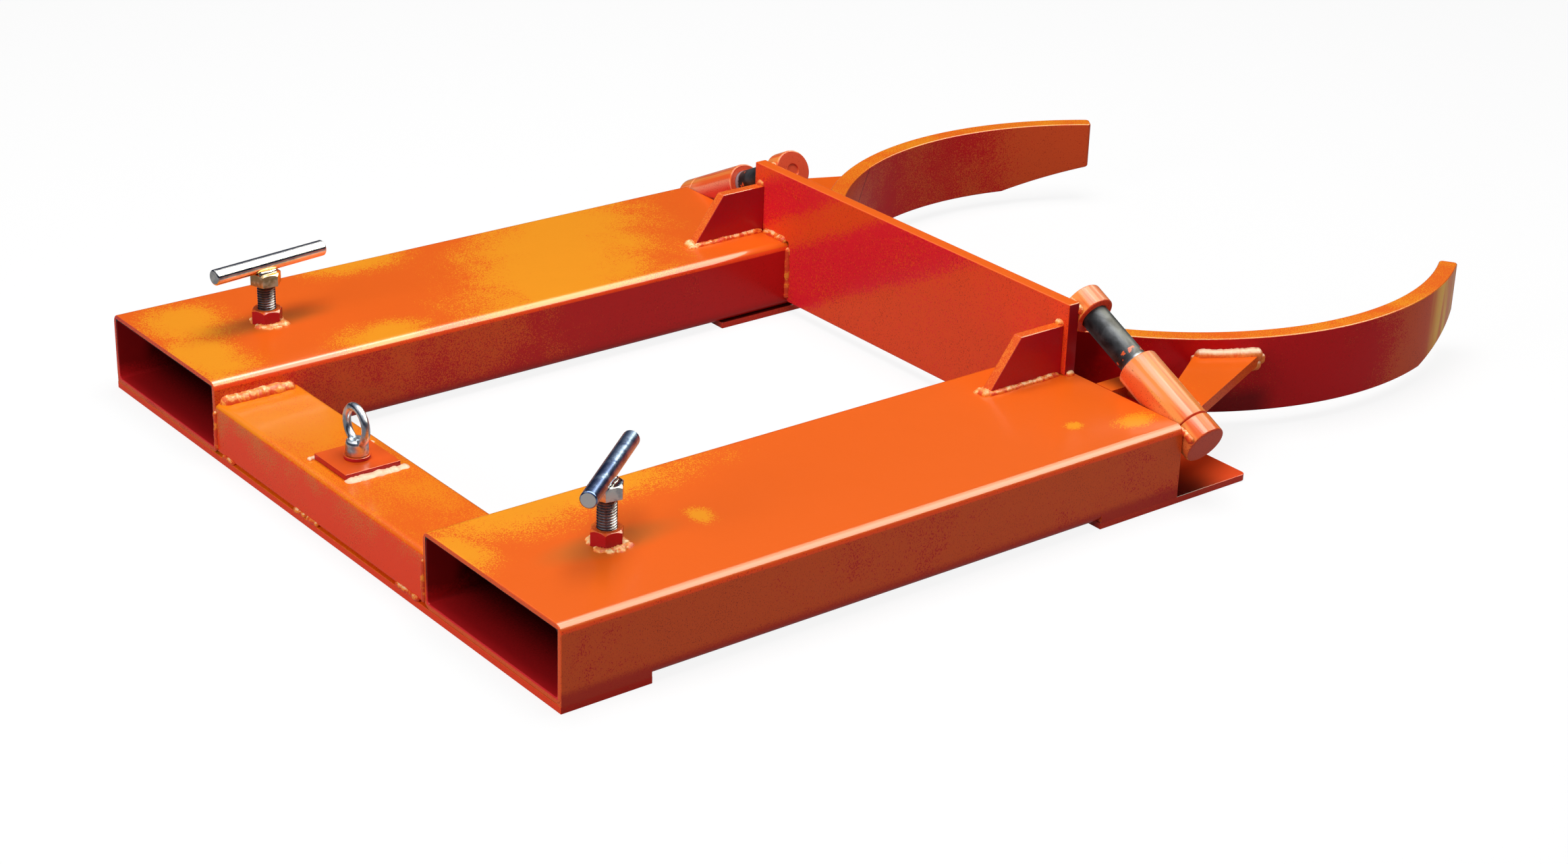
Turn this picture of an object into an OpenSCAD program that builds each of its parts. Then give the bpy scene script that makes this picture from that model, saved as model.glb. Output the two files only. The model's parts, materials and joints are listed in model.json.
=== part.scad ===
// Fork-mounted drum clamp. Two fork pockets are tied by a heel beam and a back plate, and two
// curved arms swing on inclined pins at the plate's ends and close by their own weight.
// +X runs along the forks towards the drum, +Y to the left, +Z up. The origin is on the floor,
// on the centreline, under the middle of the heel beam.

/* [Fork pockets] */
// Outside width of a pocket
pocket_w = 186; // [150:1:230]
// Outside height of a pocket
pocket_h = 65; // [55:1:90]
// Wall of a pocket
pocket_wall = 5; // [3:0.5:8]
// Outside corner radius of a pocket
pocket_corner = 8; // [6:0.5:12]
// Length of a pocket
pocket_len = 616; // [500:1:900]
// Clear width between the pockets
pocket_gap = 330; // [260:1:420]

/* [Heel beam and skids] */
// Depth of the heel beam along the forks
beam_d = 80; // [70:1:110]
// Height of the heel beam
beam_h = 46; // [35:1:55]
// Wall of the heel beam
beam_wall = 4; // [3:0.5:6]
// Outside corner radius of the heel beam
beam_corner = 6; // [5:0.5:9]
// Thickness of the flat bars underneath
skid_t = 6; // [4:0.5:12]
// Length of a front skid
skid_len = 170; // [120:1:220]
// How far a front skid reaches past its pocket
skid_over = 82; // [50:1:100]
// Corner radius of a front skid's nose
skid_corner = 5; // [2:0.5:12]

/* [Back plate] */
// Thickness of the back plate
plate_t = 12; // [8:0.5:16]
// Width of the back plate over the pockets
plate_w = 438; // [400:1:520]
// Rise of the back plate above the pockets
plate_rise = 65; // [55:1:90]
// Height of the plate's lower edge above the pockets' undersides
plate_foot = 5; // [0:1:20]

/* [Gussets] */
// Thickness of a gusset
gusset_t = 10; // [6:0.5:12]
// Distance of a gusset's outer face from the plate's end
gusset_inset = 5; // [2:1:14]
// Length of a gusset's foot on the pocket
gusset_foot = 82; // [60:1:110]
// Length of a gusset's top edge
gusset_top = 48; // [20:1:56]
// Height of a gusset
gusset_h = 45; // [30:1:52]

/* [Hinges] */
// Diameter of a hinge pin
pin_d = 25; // [20:0.5:28]
// Radial running clearance of a sleeve on its pin
pin_fit = 0.05; // [0.02:0.01:0.1]
// Outside diameter of the collars and sleeves
collar_d = 38; // [34:0.5:44]
// Length of a collar
collar_len = 20.5; // [16:0.5:30]
// Thickness of the closed end of a collar
collar_end = 5; // [3:0.5:8]
// Depth of the shallow recess in an upper collar's end
recess_depth = 1.5; // [0.5:0.25:2.5]
// Diameter of that recess
recess_d = 12; // [6:0.5:16]
// Length of a sleeve
sleeve_len = 74; // [50:1:90]
// Bevel on the outer edges of collars and sleeves
rim_bevel = 1; // [0.5:0.25:2]
// Gap between a sleeve and the collar that it rests on
end_float = 0.3; // [0.2:0.1:1]
// Gap between a sleeve and the front end of its pocket
sleeve_gap = 0.3; // [0.2:0.1:1]
// How far the hinge's low end stands out past the pocket's side
hinge_out = 7.5; // [0:0.5:12]
// Height of the hinge's low end above the pocket's underside
hinge_low = 45; // [36:1:50]
// Distance of the hinge's high end in from the plate's end
hinge_in = 19; // [8:1:24]
// Distance of the hinge's high end below the plate's top edge
hinge_drop = 8.5; // [5:0.5:16]

/* [Arms] */
// Inside radius of the arms, the radius of the drum's body
arm_r = 286; // [270:1:300]
// Thickness of an arm
arm_t = 17; // [12:0.5:20]
// Height of an arm
arm_h = 70; // [55:1:80]
// Height of an arm's lower edge above the front skids
arm_lift = 10; // [4:1:16]
// Gap between a drum held by the arms and the back plate
drum_gap = 3; // [1:0.5:10]
// Angle at which an arm begins, from the line back to the plate
root_angle = 32; // [28:1:45]
// Angle at which an arm ends
tip_angle = 124; // [115:1:130]
// Angle of the butt joint between root and arm, at half height
seam_angle = 57; // [52:1:62]
// Lean of the butt joint from upright
seam_lean = 45; // [20:1:50]
// Angle at which the lower edge starts to rise towards the tip
rise_angle = 105; // [98:1:110]
// Slope of the lower edge near the tip
rise_slope = 14; // [5:1:18]

/* [Arm brackets] */
// Thickness of the bracket between a sleeve and its arm
bracket_t = 10; // [6:0.5:12]
// Height of the bracket's top below the arm's top edge
bracket_drop = 15; // [12:1:20]
// Angle at which the bracket's weld on the arm begins
bracket_start = 55; // [50:0.5:58]
// Angle at which that weld ends
bracket_stop = 66.5; // [62:0.5:72]
// Width of the bracket where it meets its sleeve
bracket_root = 45; // [30:1:60]
// Width of the closing lug that meets the pocket's front end
lug_w = 19; // [12:1:26]
// Gap between the closing lug and the pocket's front end
lug_gap = 0.3; // [0.1:0.1:1]

/* [Clamp screws] */
// Thread diameter of a clamp screw
screw_d = 16; // [12:1:20]
// Length of a clamp screw under its head
screw_len = 45; // [42:1:65]
// Distance of a clamp screw from the heel end of its pocket
screw_from_heel = 102; // [60:1:140]
// Distance of a clamp screw outwards from the middle of its pocket
screw_out = 2; // [-20:1:20]
// Length of thread that shows between the left nut and head
screw_show_left = 23; // [20:1:28]
// Length of thread that shows between the right nut and head
screw_show_right = 26; // [20:1:28]
// Width across the flats of nut and head
hex_af = 24; // [24:0.5:32]
// Height of a weld nut
nut_h = 13; // [10:0.5:16]
// Height of a screw's head
head_h = 11; // [8:0.5:14]
// Width of the flat top of nut and head as a share of their width across the flats
hex_top_share = 0.97; // [0.85:0.01:1]
// How much wider a plain hole is than the thread that passes it
hole_room = 2; // [1:0.5:4]
// Turn of the hexagons about the screw
hex_turn = -9; // [-30:1:30]
// Diameter of a tee bar
tee_d = 14; // [10:0.5:18]
// Length of a tee bar
tee_len = 114; // [90:1:150]
// Turn of the left tee bar from the forks' direction
tee_turn_left = 7; // [0:1:90]
// Turn of the right tee bar from the forks' direction
tee_turn_right = 39; // [0:1:90]
// Distance of the left tee bar's middle from its screw
tee_shift_left = 4; // [-20:1:20]
// Distance of the right tee bar's middle from its screw
tee_shift_right = 8; // [-20:1:20]

/* [Eye bolt] */
// Side of the square pad under the eye bolt
pad_side = 50; // [40:1:60]
// Thickness of that pad
pad_t = 5; // [3:0.5:10]
// Diameter of the threaded boss on the pad
boss_d = 22; // [20:0.5:30]
// Height of the boss
boss_h = 3; // [2:0.5:8]
// Diameter of the eye bolt's foot
eye_foot_d = 18; // [16:0.5:20]
// Height of the foot up to the ring
eye_neck = 10; // [8:0.5:14]
// Shares of the foot's height at which its rim ends, slopes in, narrows to the waist and leaves it
foot_steps = [0.3, 0.45, 0.65, 0.8];
// Radius of the waist as a share of the bar's diameter
waist_share = 0.8; // [0.6:0.05:1]
// Diameter of the ring's bar
eye_bar_d = 7; // [6:0.5:9]
// Inside diameter of the ring
eye_hole_d = 23; // [20:0.5:28]
// Diameter of the eye bolt's thread
eye_thread_d = 10; // [8:0.5:12]
// Length of the eye bolt's thread
eye_thread_len = 20; // [14:1:28]

/* [Hidden] */
$fn = 96;
left = 1;
right = -1;

paint = [0.93, 0.42, 0.13];
bare_pin = [0.20, 0.21, 0.23];
zinc = [0.72, 0.76, 0.80];

// Places along X
heel_x = -beam_d / 2;
front_x = heel_x + pocket_len;
plate_rear_x = front_x - plate_t;
hinge_x = front_x + sleeve_gap + collar_d / 2;
arm_x = front_x + drum_gap + arm_r;
screw_x = heel_x + screw_from_heel;

// Places along Y, on the left side
pocket_in = pocket_gap / 2;
screw_y = pocket_in + pocket_w / 2 + screw_out;
pocket_out = pocket_in + pocket_w;

// Places along Z
pocket_z = skid_t;
pocket_top = pocket_z + pocket_h;
beam_top = pocket_z + beam_h;
plate_top = pocket_top + plate_rise;
arm_z = skid_t + arm_lift;
arm_top = arm_z + arm_h;
bracket_top = arm_top - bracket_drop;
pad_top = beam_top + pad_t;
boss_top = pad_top + boss_h;
nut_top = pocket_top + nut_h;

// The hinge line of the left side, from its low outer end to its high inner end
low_y = pocket_out + hinge_out;
low_z = pocket_z + hinge_low;
high_y = plate_w / 2 - hinge_in;
high_z = plate_top - hinge_drop;
hinge_len = norm([high_y - low_y, high_z - low_z]);
hinge_tilt = atan2(high_z - low_z, low_y - high_y);
sleeve_from = collar_len + end_float;

arm_out_r = arm_r + arm_t;
eye_bar_r = eye_bar_d / 2;
eye_ring_r = eye_hole_d / 2 + eye_bar_r;
eye_z = boss_top + eye_neck + eye_ring_r;
thread_fit = 0.05;
cut = 1;
far = 2 * (pocket_len + arm_r);

// Mirrors its children to the right side when asked
module on_side(side) {
    mirror([0, side == right ? 1 : 0, 0]) children();
}

// A rectangle with round corners, its lower left corner at the origin
module round_rect(w, h, r) {
    translate([r, 0]) square([w - 2 * r, h]);
    translate([0, r]) square([w, h - 2 * r]);
    for (x = [r, w - r], y = [r, h - r]) translate([x, y]) circle(r);
}

// A box section in its own plane
module box_section(w, h, r, wall) {
    difference() {
        round_rect(w, h, r);
        translate([wall, wall]) round_rect(w - 2 * wall, h - 2 * wall, max(r - wall, 1));
    }
}

// Stands a drawing of Y and Z up and runs it along X
module along_x(length) {
    rotate([90, 0, 90]) linear_extrude(length) children();
}

// Stands a drawing of X and Z up, centred on Y
module across_y(width) {
    translate([0, width / 2, 0]) rotate([90, 0, 0]) linear_extrude(width) children();
}

// Puts +Z on the left hinge line, a distance up from its low end
module on_hinge(distance) {
    translate([hinge_x, low_y, low_z]) rotate([90 - hinge_tilt, 0, 0]) translate([0, 0, distance]) children();
}

// A round bar whose ends are bevelled
module bevelled_bar(d, length, bevel) {
    cylinder(h = bevel, d1 = d - 2 * bevel, d2 = d);
    translate([0, 0, bevel]) cylinder(h = length - 2 * bevel, d = d);
    translate([0, 0, length - bevel]) cylinder(h = bevel, d1 = d, d2 = d - 2 * bevel);
}

// A direction on the left arm's arc, by its angle from the line back to the plate
function arc_point(r, a) = [arm_x - r * cos(a), r * sin(a)];

// A slice of the arc's plane between two angles
module arc_slice(a0, a1) {
    polygon([[arm_x, 0], for (i = [0:4]) arc_point(far, a0 + (a1 - a0) * i / 4)]);
}

// Puts +X along the left arm at an angle of its arc, and +Z up
module on_arc(a, z) {
    translate([arm_x, 0, z]) rotate([0, 0, 90 - a]) translate([0, arm_r, 0]) children();
}

// The rolled bar of the left arm, from its root to its tip
module arm_bar() {
    difference() {
        translate([0, 0, arm_z]) linear_extrude(arm_h) intersection() {
            difference() {
                translate([arm_x, 0]) circle(arm_out_r, $fn = 192);
                translate([arm_x, 0]) circle(arm_r, $fn = 192);
            }
            arc_slice(root_angle, tip_angle);
        }
        on_arc(rise_angle, arm_z) rotate([0, -rise_slope, 0])
            translate([0, -arm_r / 2, -arm_h]) cube([far, arm_r, arm_h]);
    }
}

// Everything on the root's side of the leaning butt joint
module root_half() {
    on_arc(seam_angle, arm_z + arm_h / 2) rotate([0, seam_lean, 0])
        translate([-far, -arm_r / 2, -far / 2]) cube([far, arm_r, far]);
}

module fork_pocket(side) color(paint) on_side(side) difference() {
    translate([heel_x, pocket_in, pocket_z]) along_x(pocket_len)
        box_section(pocket_w, pocket_h, pocket_corner, pocket_wall);
    translate([screw_x, screw_y, pocket_top - pocket_wall - cut])
        cylinder(h = pocket_wall + 2 * cut, d = screw_d + hole_room);
}

module heel_beam() color(paint) difference() {
    translate([heel_x, 0, pocket_z]) across_y(pocket_gap)
        box_section(beam_d, beam_h, beam_corner, beam_wall);
    translate([0, 0, beam_top - beam_wall - cut]) cylinder(h = beam_wall + 2 * cut, d = eye_thread_d + hole_room);
}

module heel_skid() color(paint)
    translate([heel_x, -pocket_out, 0]) cube([beam_d, 2 * pocket_out, skid_t]);

module front_skid(side) color(paint) on_side(side)
    translate([front_x + skid_over - skid_len, pocket_in, 0]) linear_extrude(skid_t) {
        square([skid_len - skid_corner, pocket_w]);
        translate([0, skid_corner]) square([skid_len, pocket_w - 2 * skid_corner]);
        for (y = [skid_corner, pocket_w - skid_corner])
            translate([skid_len - skid_corner, y]) circle(skid_corner);
    }

// The plate stands between the pockets and is notched to sit on them
module back_plate() color(paint) translate([plate_rear_x, 0, 0]) along_x(plate_t) {
    translate([-plate_w / 2, pocket_top]) square([plate_w, plate_rise]);
    translate([-pocket_in, pocket_z + plate_foot]) square([pocket_gap, pocket_h - plate_foot]);
}

module gusset(side) color(paint) on_side(side)
    translate([plate_rear_x, plate_w / 2 - gusset_inset - gusset_t / 2, pocket_top])
        across_y(gusset_t) polygon([[-gusset_foot, 0], [0, 0], [0, gusset_h], [-gusset_top, gusset_h]]);

module lower_collar(side) color(paint) on_side(side) difference() {
    on_hinge(0) bevelled_bar(collar_d, collar_len, rim_bevel);
    on_hinge(collar_end) cylinder(h = collar_len, d = pin_d + 2 * pin_fit);
}

module upper_collar(side) color(paint) on_side(side) difference() {
    on_hinge(hinge_len - collar_len) bevelled_bar(collar_d, collar_len, rim_bevel);
    on_hinge(hinge_len - collar_end - collar_len) cylinder(h = collar_len, d = pin_d + 2 * pin_fit);
    on_hinge(hinge_len - recess_depth) cylinder(h = collar_end, d = recess_d);
}

module hinge_pin(side) color(bare_pin) on_side(side)
    on_hinge(collar_end) cylinder(h = hinge_len - 2 * collar_end, d = pin_d);

module hinge_sleeve(side) color(paint) on_side(side) difference() {
    on_hinge(sleeve_from) bevelled_bar(collar_d, sleeve_len, rim_bevel);
    on_hinge(sleeve_from - cut) cylinder(h = sleeve_len + 2 * cut, d = pin_d + 2 * pin_fit);
}

// A plate from the sleeve to the arm's outer face, with a lug that stops the arm closing
module arm_bracket(side) color(paint) on_side(side) {
    top_y = low_y - cos(hinge_tilt) * (sleeve_from + sleeve_len) - collar_d / 2 * sin(hinge_tilt);
    end_y = low_y - cos(hinge_tilt) * sleeve_from;
    difference() {
        translate([0, 0, bracket_top - bracket_t]) linear_extrude(bracket_t) polygon([
            [front_x + lug_gap, top_y - lug_w], [hinge_x + collar_d / 4, top_y - lug_w],
            [hinge_x + collar_d / 2, end_y - bracket_root],
            arc_point(arm_out_r, bracket_start), arc_point(arm_r + arm_t / 2, bracket_start),
            arc_point(arm_r + arm_t / 2, bracket_stop), arc_point(arm_out_r, bracket_stop),
            [hinge_x, end_y], [hinge_x, top_y], [front_x + lug_gap, top_y]
        ]);
        translate([arm_x, 0, 0]) cylinder(h = plate_top, r = arm_out_r, $fn = 192);
        on_hinge(sleeve_from - 2 * collar_d) cylinder(h = 2 * collar_d, r = 2 * collar_d);
        on_hinge(sleeve_from - cut) cylinder(h = sleeve_len + 2 * cut, d = collar_d);
    }
}

module arm_root(side) color(paint) on_side(side) intersection() {
    arm_bar();
    root_half();
}

module clamp_arm(side) color(paint) on_side(side) difference() {
    arm_bar();
    root_half();
}

// A hexagon prism whose upper corners are turned off
module turned_hex(af, h) {
    across_corners = af / cos(30);
    intersection() {
        cylinder(h = h, d = across_corners, $fn = 6);
        cylinder(h = h, d1 = across_corners + 2 * h, d2 = af * hex_top_share);
        cylinder(h = h, d = across_corners);
    }
}

// Underside of a screw's head, and the axis of its tee bar
function head_z(side) = nut_top + (side == left ? screw_show_left : screw_show_right);
function tee_z(side) = head_z(side) + head_h + tee_d / 2;

module on_screw(side, z) {
    translate([screw_x, side * screw_y, z]) children();
}

module weld_nut(side) color(paint) on_screw(side, pocket_top) difference() {
    rotate([0, 0, hex_turn]) turned_hex(hex_af, nut_h);
    translate([0, 0, -cut]) cylinder(h = nut_h + 2 * cut, d = screw_d + 2 * thread_fit);
}

module clamp_screw(side) color(zinc) {
    tip_bevel = screw_d / 8;
    on_screw(side, head_z(side)) rotate([0, 0, hex_turn]) turned_hex(hex_af, head_h);
    on_screw(side, head_z(side) - screw_len) {
        cylinder(h = tip_bevel, d1 = screw_d - 2 * tip_bevel, d2 = screw_d);
        translate([0, 0, tip_bevel]) cylinder(h = screw_len - tip_bevel, d = screw_d);
    }
}

module tee_bar(side) color(zinc) {
    turn = side == left ? tee_turn_left : tee_turn_right;
    shift = side == left ? tee_shift_left : tee_shift_right;
    on_screw(side, tee_z(side)) rotate([0, 0, turn]) rotate([0, 90, 0])
        translate([0, 0, shift - tee_len / 2]) bevelled_bar(tee_d, tee_len, rim_bevel);
}

module eye_pad() color(paint) difference() {
    translate([-pad_side / 2, -pad_side / 2, beam_top]) cube([pad_side, pad_side, pad_t]);
    translate([0, 0, beam_top - cut]) cylinder(h = pad_t + 2 * cut, d = eye_thread_d + hole_room);
}

module eye_boss() color(paint) difference() {
    translate([0, 0, pad_top]) cylinder(h = boss_h, d = boss_d);
    translate([0, 0, pad_top - cut]) cylinder(h = boss_h + 2 * cut, d = eye_thread_d + 2 * thread_fit);
}

// The foot narrows from its seat to a waist, and widens again into the ring
module eye_bolt() color(zinc) {
    foot_r = eye_foot_d / 2;
    waist_r = eye_bar_d * waist_share;
    translate([0, 0, boss_top]) rotate_extrude() polygon([
        [0, 0], [foot_r - rim_bevel, 0], [foot_r, rim_bevel], [foot_r, eye_neck * foot_steps[0]],
        [foot_r - rim_bevel, eye_neck * foot_steps[1]], [waist_r, eye_neck * foot_steps[2]],
        [waist_r, eye_neck * foot_steps[3]], [waist_r + rim_bevel, eye_neck], [0, eye_neck]
    ]);
    translate([0, 0, boss_top - eye_thread_len]) cylinder(h = eye_thread_len, d = eye_thread_d);
    translate([0, 0, eye_z]) rotate([0, 90, 0])
        rotate_extrude() translate([eye_ring_r, 0]) circle(eye_bar_r, $fn = 48);
}

fork_pocket(right);  // fork_pocket_right
fork_pocket(left);  // fork_pocket_left
heel_beam();
heel_skid();
front_skid(right);  // front_skid_right
front_skid(left);  // front_skid_left
back_plate();
gusset(right);  // gusset_right
gusset(left);  // gusset_left
upper_collar(right);  // upper_collar_right
upper_collar(left);  // upper_collar_left
lower_collar(right);  // lower_collar_right
lower_collar(left);  // lower_collar_left
hinge_pin(right);  // hinge_pin_right
hinge_pin(left);  // hinge_pin_left
hinge_sleeve(right);  // hinge_sleeve_right
hinge_sleeve(left);  // hinge_sleeve_left
arm_bracket(right);  // arm_bracket_right
arm_bracket(left);  // arm_bracket_left
arm_root(right);  // arm_root_right
arm_root(left);  // arm_root_left
clamp_arm(right);  // clamp_arm_right
clamp_arm(left);  // clamp_arm_left
weld_nut(right);  // weld_nut_right
weld_nut(left);  // weld_nut_left
clamp_screw(right);  // clamp_screw_right
clamp_screw(left);  // clamp_screw_left
tee_bar(right);  // tee_bar_right
tee_bar(left);  // tee_bar_left
eye_pad();
eye_boss();
eye_bolt();
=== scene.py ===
"""A fork-mounted drum clamp: its finishes, softened edges, weld beads and threads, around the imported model."""
import json
import math

import bmesh
import bpy
from mathutils import Matrix, Vector


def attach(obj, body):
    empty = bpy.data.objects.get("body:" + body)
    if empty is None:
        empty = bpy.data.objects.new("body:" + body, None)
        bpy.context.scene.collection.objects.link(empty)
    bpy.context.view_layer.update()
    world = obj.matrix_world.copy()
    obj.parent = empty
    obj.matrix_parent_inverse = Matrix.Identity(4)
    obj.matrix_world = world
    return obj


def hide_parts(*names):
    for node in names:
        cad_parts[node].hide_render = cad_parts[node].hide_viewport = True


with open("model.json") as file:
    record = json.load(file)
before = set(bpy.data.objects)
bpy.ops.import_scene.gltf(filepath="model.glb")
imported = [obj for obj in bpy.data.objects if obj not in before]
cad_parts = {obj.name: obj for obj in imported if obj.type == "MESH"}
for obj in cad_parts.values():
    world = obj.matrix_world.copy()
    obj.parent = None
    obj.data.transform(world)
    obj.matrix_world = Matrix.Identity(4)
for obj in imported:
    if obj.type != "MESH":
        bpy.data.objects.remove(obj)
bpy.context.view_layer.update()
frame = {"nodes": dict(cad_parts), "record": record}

MM = 0.001
SIDES = {"right": -1, "left": 1}

# Sizes that the CAD fixes, in mm
HEEL_X, BEAM_TOP, BEAM_LOW = 40, 52, 6
POCKET_IN, POCKET_OUT, POCKET_TOP, POCKET_LOW, POCKET_END = 165, 351, 71, 6, 576
PLATE_X, PLATE_FRONT, PLATE_HALF = 564, 576, 219
GUSSET_IN, GUSSET_OUT, GUSSET_FOOT, GUSSET_TOP = 204, 214, 482, 116
SCREW_X, SCREW_Y, HEAD_H = 62, 260, 11
SCREW_R, SCREW_LEN, SCREW_PITCH = 8, 45, 2.3
HEAD_LOW = {"left": 107, "right": 110}
TEE_TURN = {"left": 7, "right": 39}
PAD_HALF = 25
EYE_BAR_R, EYE_RING_R, EYE_Z = 3.5, 15, 85
HINGE_X, HINGE_LOW, HINGE_HIGH = 595.3, (358.5, 51.0), (200.0, 127.5)
COLLAR_R = 19
ARM_X, ARM_R, ARM_T = 865, 286, 17
ARM_MIDDLE_R, ARM_MIDDLE_Z = ARM_R + ARM_T / 2, 51
FRONT_SKID_X = 488
BRACKET_LOW, BRACKET_TOP, BRACKET_FROM, BRACKET_TO = 61, 71, 55, 66.5
SEAM_AT, ARM_TIP = 57, 124

# Colours of the paint, by the kind of piece: two tones on upright faces, darker and redder as painted shade,
# and two lighter tones on upper faces, as painted light from above
SHADED_UPRIGHT_TONES = {"arms": ((0.56, 0.007, 0.010, 1), (0.66, 0.075, 0.016, 1)),
         "brackets": ((0.74, 0.070, 0.012, 1), (0.80, 0.120, 0.014, 1)),
         "skids": ((0.60, 0.030, 0.012, 1), (0.66, 0.050, 0.012, 1)),
         "plate": ((0.80, 0.016, 0.030, 1), (0.84, 0.070, 0.014, 1)),
         "beam": ((0.84, 0.050, 0.010, 1), (0.70, 0.150, 0.028, 1)),
         "pockets": ((0.58, 0.012, 0.012, 1), (0.74, 0.090, 0.014, 1)),
         "nuts": ((0.42, 0.008, 0.014, 1), (0.38, 0.012, 0.018, 1)),
         "pad": ((0.46, 0.010, 0.014, 1), (0.42, 0.016, 0.018, 1)),
         "hinges": ((0.86, 0.130, 0.030, 1), (0.90, 0.330, 0.080, 1))}
LIT_UPPER_TONES = {"beam": ((0.84, 0.130, 0.009, 1), (0.88, 0.245, 0.009, 1)),
         "skids": ((0.84, 0.078, 0.014, 1), (0.86, 0.090, 0.014, 1)),
         "pad": ((0.80, 0.100, 0.010, 1), (0.84, 0.150, 0.012, 1)),
         "nuts": ((0.78, 0.095, 0.012, 1), (0.88, 0.215, 0.022, 1))}
LIT_UPPER_ELSEWHERE = ((0.86, 0.132, 0.009, 1), (0.92, 0.330, 0.012, 1))
# Painted light on sleeves and collars: pink painted highlights, painted shade on the far side and on the end faces
HIGHLIGHT_PINK, HINGE_SHADE, HINGE_END_SHADE = (0.95, 0.46, 0.26, 1), (0.66, 0.018, 0.018, 1), (0.66, 0.065, 0.024, 1)
# Painted shade on the plate's end faces, a red band of painted shading over the pockets' rolled edges, and an olive
# painted shadow beside the nuts
PLATE_END_SHADE, ROLL_SHADING_RED, SHADOW_OLIVE = (0.26, 0.006, 0.010, 1), (0.98, 0.080, 0.014, 1), (0.50, 0.155, 0.022, 1)
# A dark red for specks, a red for painted shade low down, and a dark red for the arms' seam line
SPECK_RED, LOW_SHADE_RED, SEAM_RED = (0.30, 0.008, 0.006, 1), (0.46, 0.012, 0.010, 1), (0.26, 0.006, 0.006, 1)
# Painted shade inside the pockets' mouths, and a near black painted shadow
MOUTH_SHADE_DARK, MOUTH_SHADE_RED, SHADOW_BLACK = (0.014, 0.001, 0.001, 1), (0.78, 0.018, 0.022, 1), (0.040, 0.001, 0.002, 1)
# Painted highlight stripes at the arms' tips
TIP_HIGHLIGHT_ORANGE, TIP_HIGHLIGHT_YELLOW = (0.86, 0.210, 0.020, 1), (1.0, 0.520, 0.050, 1)

# How strong the paint's clear gloss is, and how much stronger on sloping faces
GLOSS = {"arms": 0.14, "beam": 0.16, "plate": 0.20, "hinges": 0.14, "brackets": 0.04}
GLOSS_ELSEWHERE, SLOPE_COAT, HINGE_SLOPE_COAT = 0.26, 0.95, 0.30

# The finish of each piece whose name starts so, where it isn't its slot's own
COATED = {"fork_pocket": "pockets", "gusset": "nuts", "weld_nut": "nuts", "hinge_sleeve": "hinges",
          "upper_collar": "hinges", "lower_collar": "hinges", "back_plate": "plate", "heel": "beam",
          "front_skid": "skids", "arm_bracket": "brackets", "eye_pad": "pad", "eye_boss": "pad",
          "tee_bar_right": "frosted", "clamp_screw_left": "heads", "eye_bolt": "silvery"}


# Node trees written as sums and products
class Value:
    """One output of a node. Sums and products of values add Math nodes."""

    def __init__(self, tree, socket):
        self.tree, self.socket = tree, socket

    def maths(self, operation, *others):
        """A Math node with this value first and the others after it."""
        return self.tree.maths(operation, self, *others)

    def __add__(self, other):
        return self.maths("ADD", other)

    def __sub__(self, other):
        return self.maths("SUBTRACT", other)

    def __rsub__(self, other):
        return self.tree.maths("SUBTRACT", other, self)

    def __mul__(self, other):
        return self.maths("MULTIPLY", other)

    def __truediv__(self, other):
        return self.maths("DIVIDE", other)

    def __pow__(self, other):
        return self.maths("POWER", other)

    def __gt__(self, other):
        return self.maths("GREATER_THAN", other)

    def __abs__(self):
        return self.maths("ABSOLUTE")

    __radd__ = __add__
    __rmul__ = __mul__

    def least(self, other):
        """The smaller of two values."""
        return self.maths("MINIMUM", other)

    def most(self, other):
        """The larger of two values."""
        return self.maths("MAXIMUM", other)

    def ramp(self, low, high, from_value=0.0, to_value=1.0):
        """This value spread from low..high onto from_value..to_value, smoothly, and held there outside it."""
        return self.tree.node("ShaderNodeMapRange", {"interpolation_type": "SMOOTHSTEP"},
                              {"Value": self, "From Min": low, "From Max": high,
                               "To Min": from_value, "To Max": to_value})


class Tree:
    """A node tree in the making."""

    def __init__(self, tree):
        self.tree = tree

    def node(self, kind, settings=None, sockets=None, output=0):
        """Adds a node with its settings and its sockets' values or links, and gives one of its outputs."""
        node = self.tree.nodes.new(kind)
        for name, value in (settings or {}).items():
            setattr(node, name, value)
        for name, value in (sockets or {}).items():
            if isinstance(value, Value):
                self.tree.links.new(value.socket, node.inputs[name])
            else:
                node.inputs[name].default_value = value
        return Value(self, node.outputs[output])

    def maths(self, operation, *terms):
        """A Math node on the terms."""
        return self.node("ShaderNodeMath", {"operation": operation}, dict(enumerate(terms)))

    def vector(self, operation, *terms, output=0):
        """A Vector Math node on the terms."""
        return self.node("ShaderNodeVectorMath", {"operation": operation}, dict(enumerate(terms)), output)

    def scaled(self, vector, factor):
        """The vector made longer by a factor."""
        return self.node("ShaderNodeVectorMath", {"operation": "SCALE"}, {0: vector, "Scale": factor})

    def parts(self, vector):
        """The X, Y and Z of a vector."""
        first = self.node("ShaderNodeSeparateXYZ", None, {0: vector})
        return [Value(self, socket) for socket in first.socket.node.outputs]

    def mix(self, factor, one, other):
        """One colour, turning into the other as the factor goes from 0 to 1."""
        return self.node("ShaderNodeMix", {"data_type": "RGBA"}, {0: factor, 6: one, 7: other}, 2)


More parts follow.
